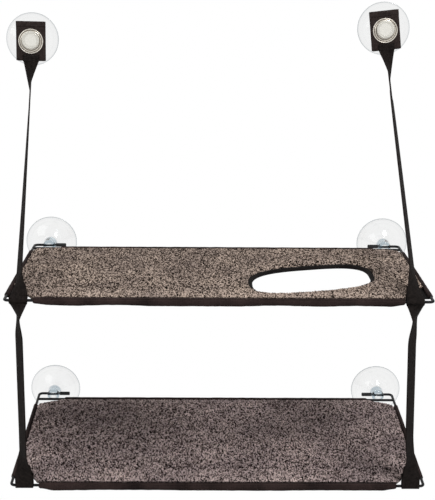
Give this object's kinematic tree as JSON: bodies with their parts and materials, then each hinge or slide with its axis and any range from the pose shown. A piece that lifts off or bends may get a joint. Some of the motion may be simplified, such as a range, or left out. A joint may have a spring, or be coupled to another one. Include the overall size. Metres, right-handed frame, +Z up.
{
  "type": "window mounted cat perch",
  "caption": "Folding two-tier plush perch for cats on wire frames, hung from clear suction cups by twisted webbing straps, with an oval hole in the upper tray.",
  "frame": {"origin": "on the glass plane, on the centre line, at the height of the upper tray's rear hinge", "axes": "+Z up, +Y into the glass, +X to the right as seen from the room"},
  "size_m": [0.635, 0.3419, 0.675],
  "materials": {
    "coated_wire": "satin black coating on round steel wire",
    "cap_rubber": "matte black",
    "cover_fabric": "black woven cloth",
    "foam": "open-cell foam, sealed inside the cover",
    "upper_plush": "short taupe plush pile",
    "lower_plush": "short grey-brown plush pile",
    "clear_vinyl": "clear moulded vinyl",
    "grommet_metal": "bright plated metal",
    "webbing": "black woven webbing"
  },
  "bodies": {
    "window_mounts": {"top_cup_left": "clear_vinyl", "top_cup_right": "clear_vinyl", "upper_rear_cup_left": "clear_vinyl", "upper_rear_cup_right": "clear_vinyl", "lower_rear_cup_left": "clear_vinyl", "lower_rear_cup_right": "clear_vinyl", "left_tab": "webbing", "right_tab": "webbing", "left_grommet": "grommet_metal", "right_grommet": "grommet_metal", "left_grommet_washer": "grommet_metal", "right_grommet_washer": "grommet_metal", "left_hanger_strap": "webbing", "right_hanger_strap": "webbing"},
    "upper_tray": {"upper_wire_frame": "coated_wire", "upper_crossbar": "coated_wire", "upper_end_cap_left": "cap_rubber", "upper_end_cap_right": "cap_rubber", "upper_front_sleeve": "cover_fabric", "upper_left_sleeve": "cover_fabric", "upper_right_sleeve": "cover_fabric", "upper_rear_sleeve": "cover_fabric", "upper_bottom_panel": "cover_fabric", "upper_foam_pad": "foam", "upper_plush_top": "upper_plush", "upper_hole_binding": "cover_fabric"},
    "lower_tray": {"lower_wire_frame": "coated_wire", "lower_crossbar": "coated_wire", "lower_end_cap_left": "cap_rubber", "lower_end_cap_right": "cap_rubber", "lower_front_sleeve": "cover_fabric", "lower_left_sleeve": "cover_fabric", "lower_right_sleeve": "cover_fabric", "lower_rear_sleeve": "cover_fabric", "lower_bottom_panel": "cover_fabric", "lower_foam_pad": "foam", "lower_plush_top": "lower_plush"},
    "left_link": {"left_link_strap": "webbing"},
    "right_link": {"right_link_strap": "webbing"}
  },
  "joints": [
    {"name": "upper_fold", "type": "hinge", "parent": "window_mounts", "child": "upper_tray", "pos_m": [0, -0.025, 0], "axis": [-1, 0, 0], "range_deg": [0, 75], "deforming": ["left_hanger_strap", "right_hanger_strap"]},
    {"name": "lower_fold", "type": "hinge", "parent": "window_mounts", "child": "lower_tray", "pos_m": [0, -0.025, -0.252], "axis": [-1, 0, 0], "range_deg": [0, 75]},
    {"name": "left_link_swing", "type": "hinge", "parent": "upper_tray", "child": "left_link", "pos_m": [-0.271, -0.33, 0], "axis": [-1, 0, 0], "range_deg": [-71, 0]},
    {"name": "right_link_swing", "type": "hinge", "parent": "upper_tray", "child": "right_link", "pos_m": [0.265, -0.33, 0], "axis": [-1, 0, 0], "range_deg": [-71, 0]}
  ],
  "couplings": [
    {"joint": "lower_fold", "follows": "upper_fold", "ratio": 1},
    {"joint": "left_link_swing", "follows": "upper_fold", "ratio": -0.942},
    {"joint": "right_link_swing", "follows": "upper_fold", "ratio": -0.942}
  ]
}
